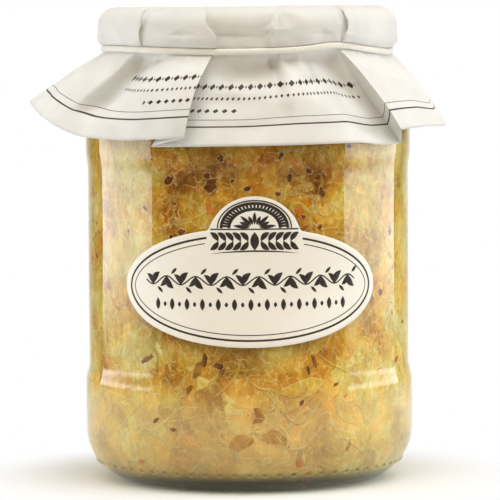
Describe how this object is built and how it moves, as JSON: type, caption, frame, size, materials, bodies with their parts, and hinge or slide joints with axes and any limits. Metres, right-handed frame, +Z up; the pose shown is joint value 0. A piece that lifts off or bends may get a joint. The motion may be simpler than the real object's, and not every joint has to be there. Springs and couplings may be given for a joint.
{
  "type": "sauerkraut jar",
  "caption": "Glass jar packed with sauerkraut, its cap under a paper cover tied down with an elastic band, and an oval paper label",
  "frame": {"origin": "on the jar's axis, in the plane of the ring it stands on", "axes": "+Z up along the jar's axis, front of the label towards -Y, +X to the right of someone facing the label"},
  "size_m": [0.1259, 0.1079, 0.1442],
  "materials": {
    "jar_glass": "clear moulded soda-lime glass, faintly green where it is thick",
    "cabbage": "wet, part translucent cooked cabbage shreds",
    "cap_enamel": "satin enamelled tinplate",
    "cover_paper": "smooth off-white paper, creased, with two dark printed lines near its edge",
    "band_rubber": "matt cream rubber",
    "label_paper": "uncoated cream paper with a dark brown printed border"
  },
  "bodies": {
    "root": {"glass_jar": "jar_glass", "sauerkraut": "cabbage", "cap": "cap_enamel", "paper_cover": "cover_paper", "elastic_band": "band_rubber", "label": "label_paper"}
  },
  "joints": []
}
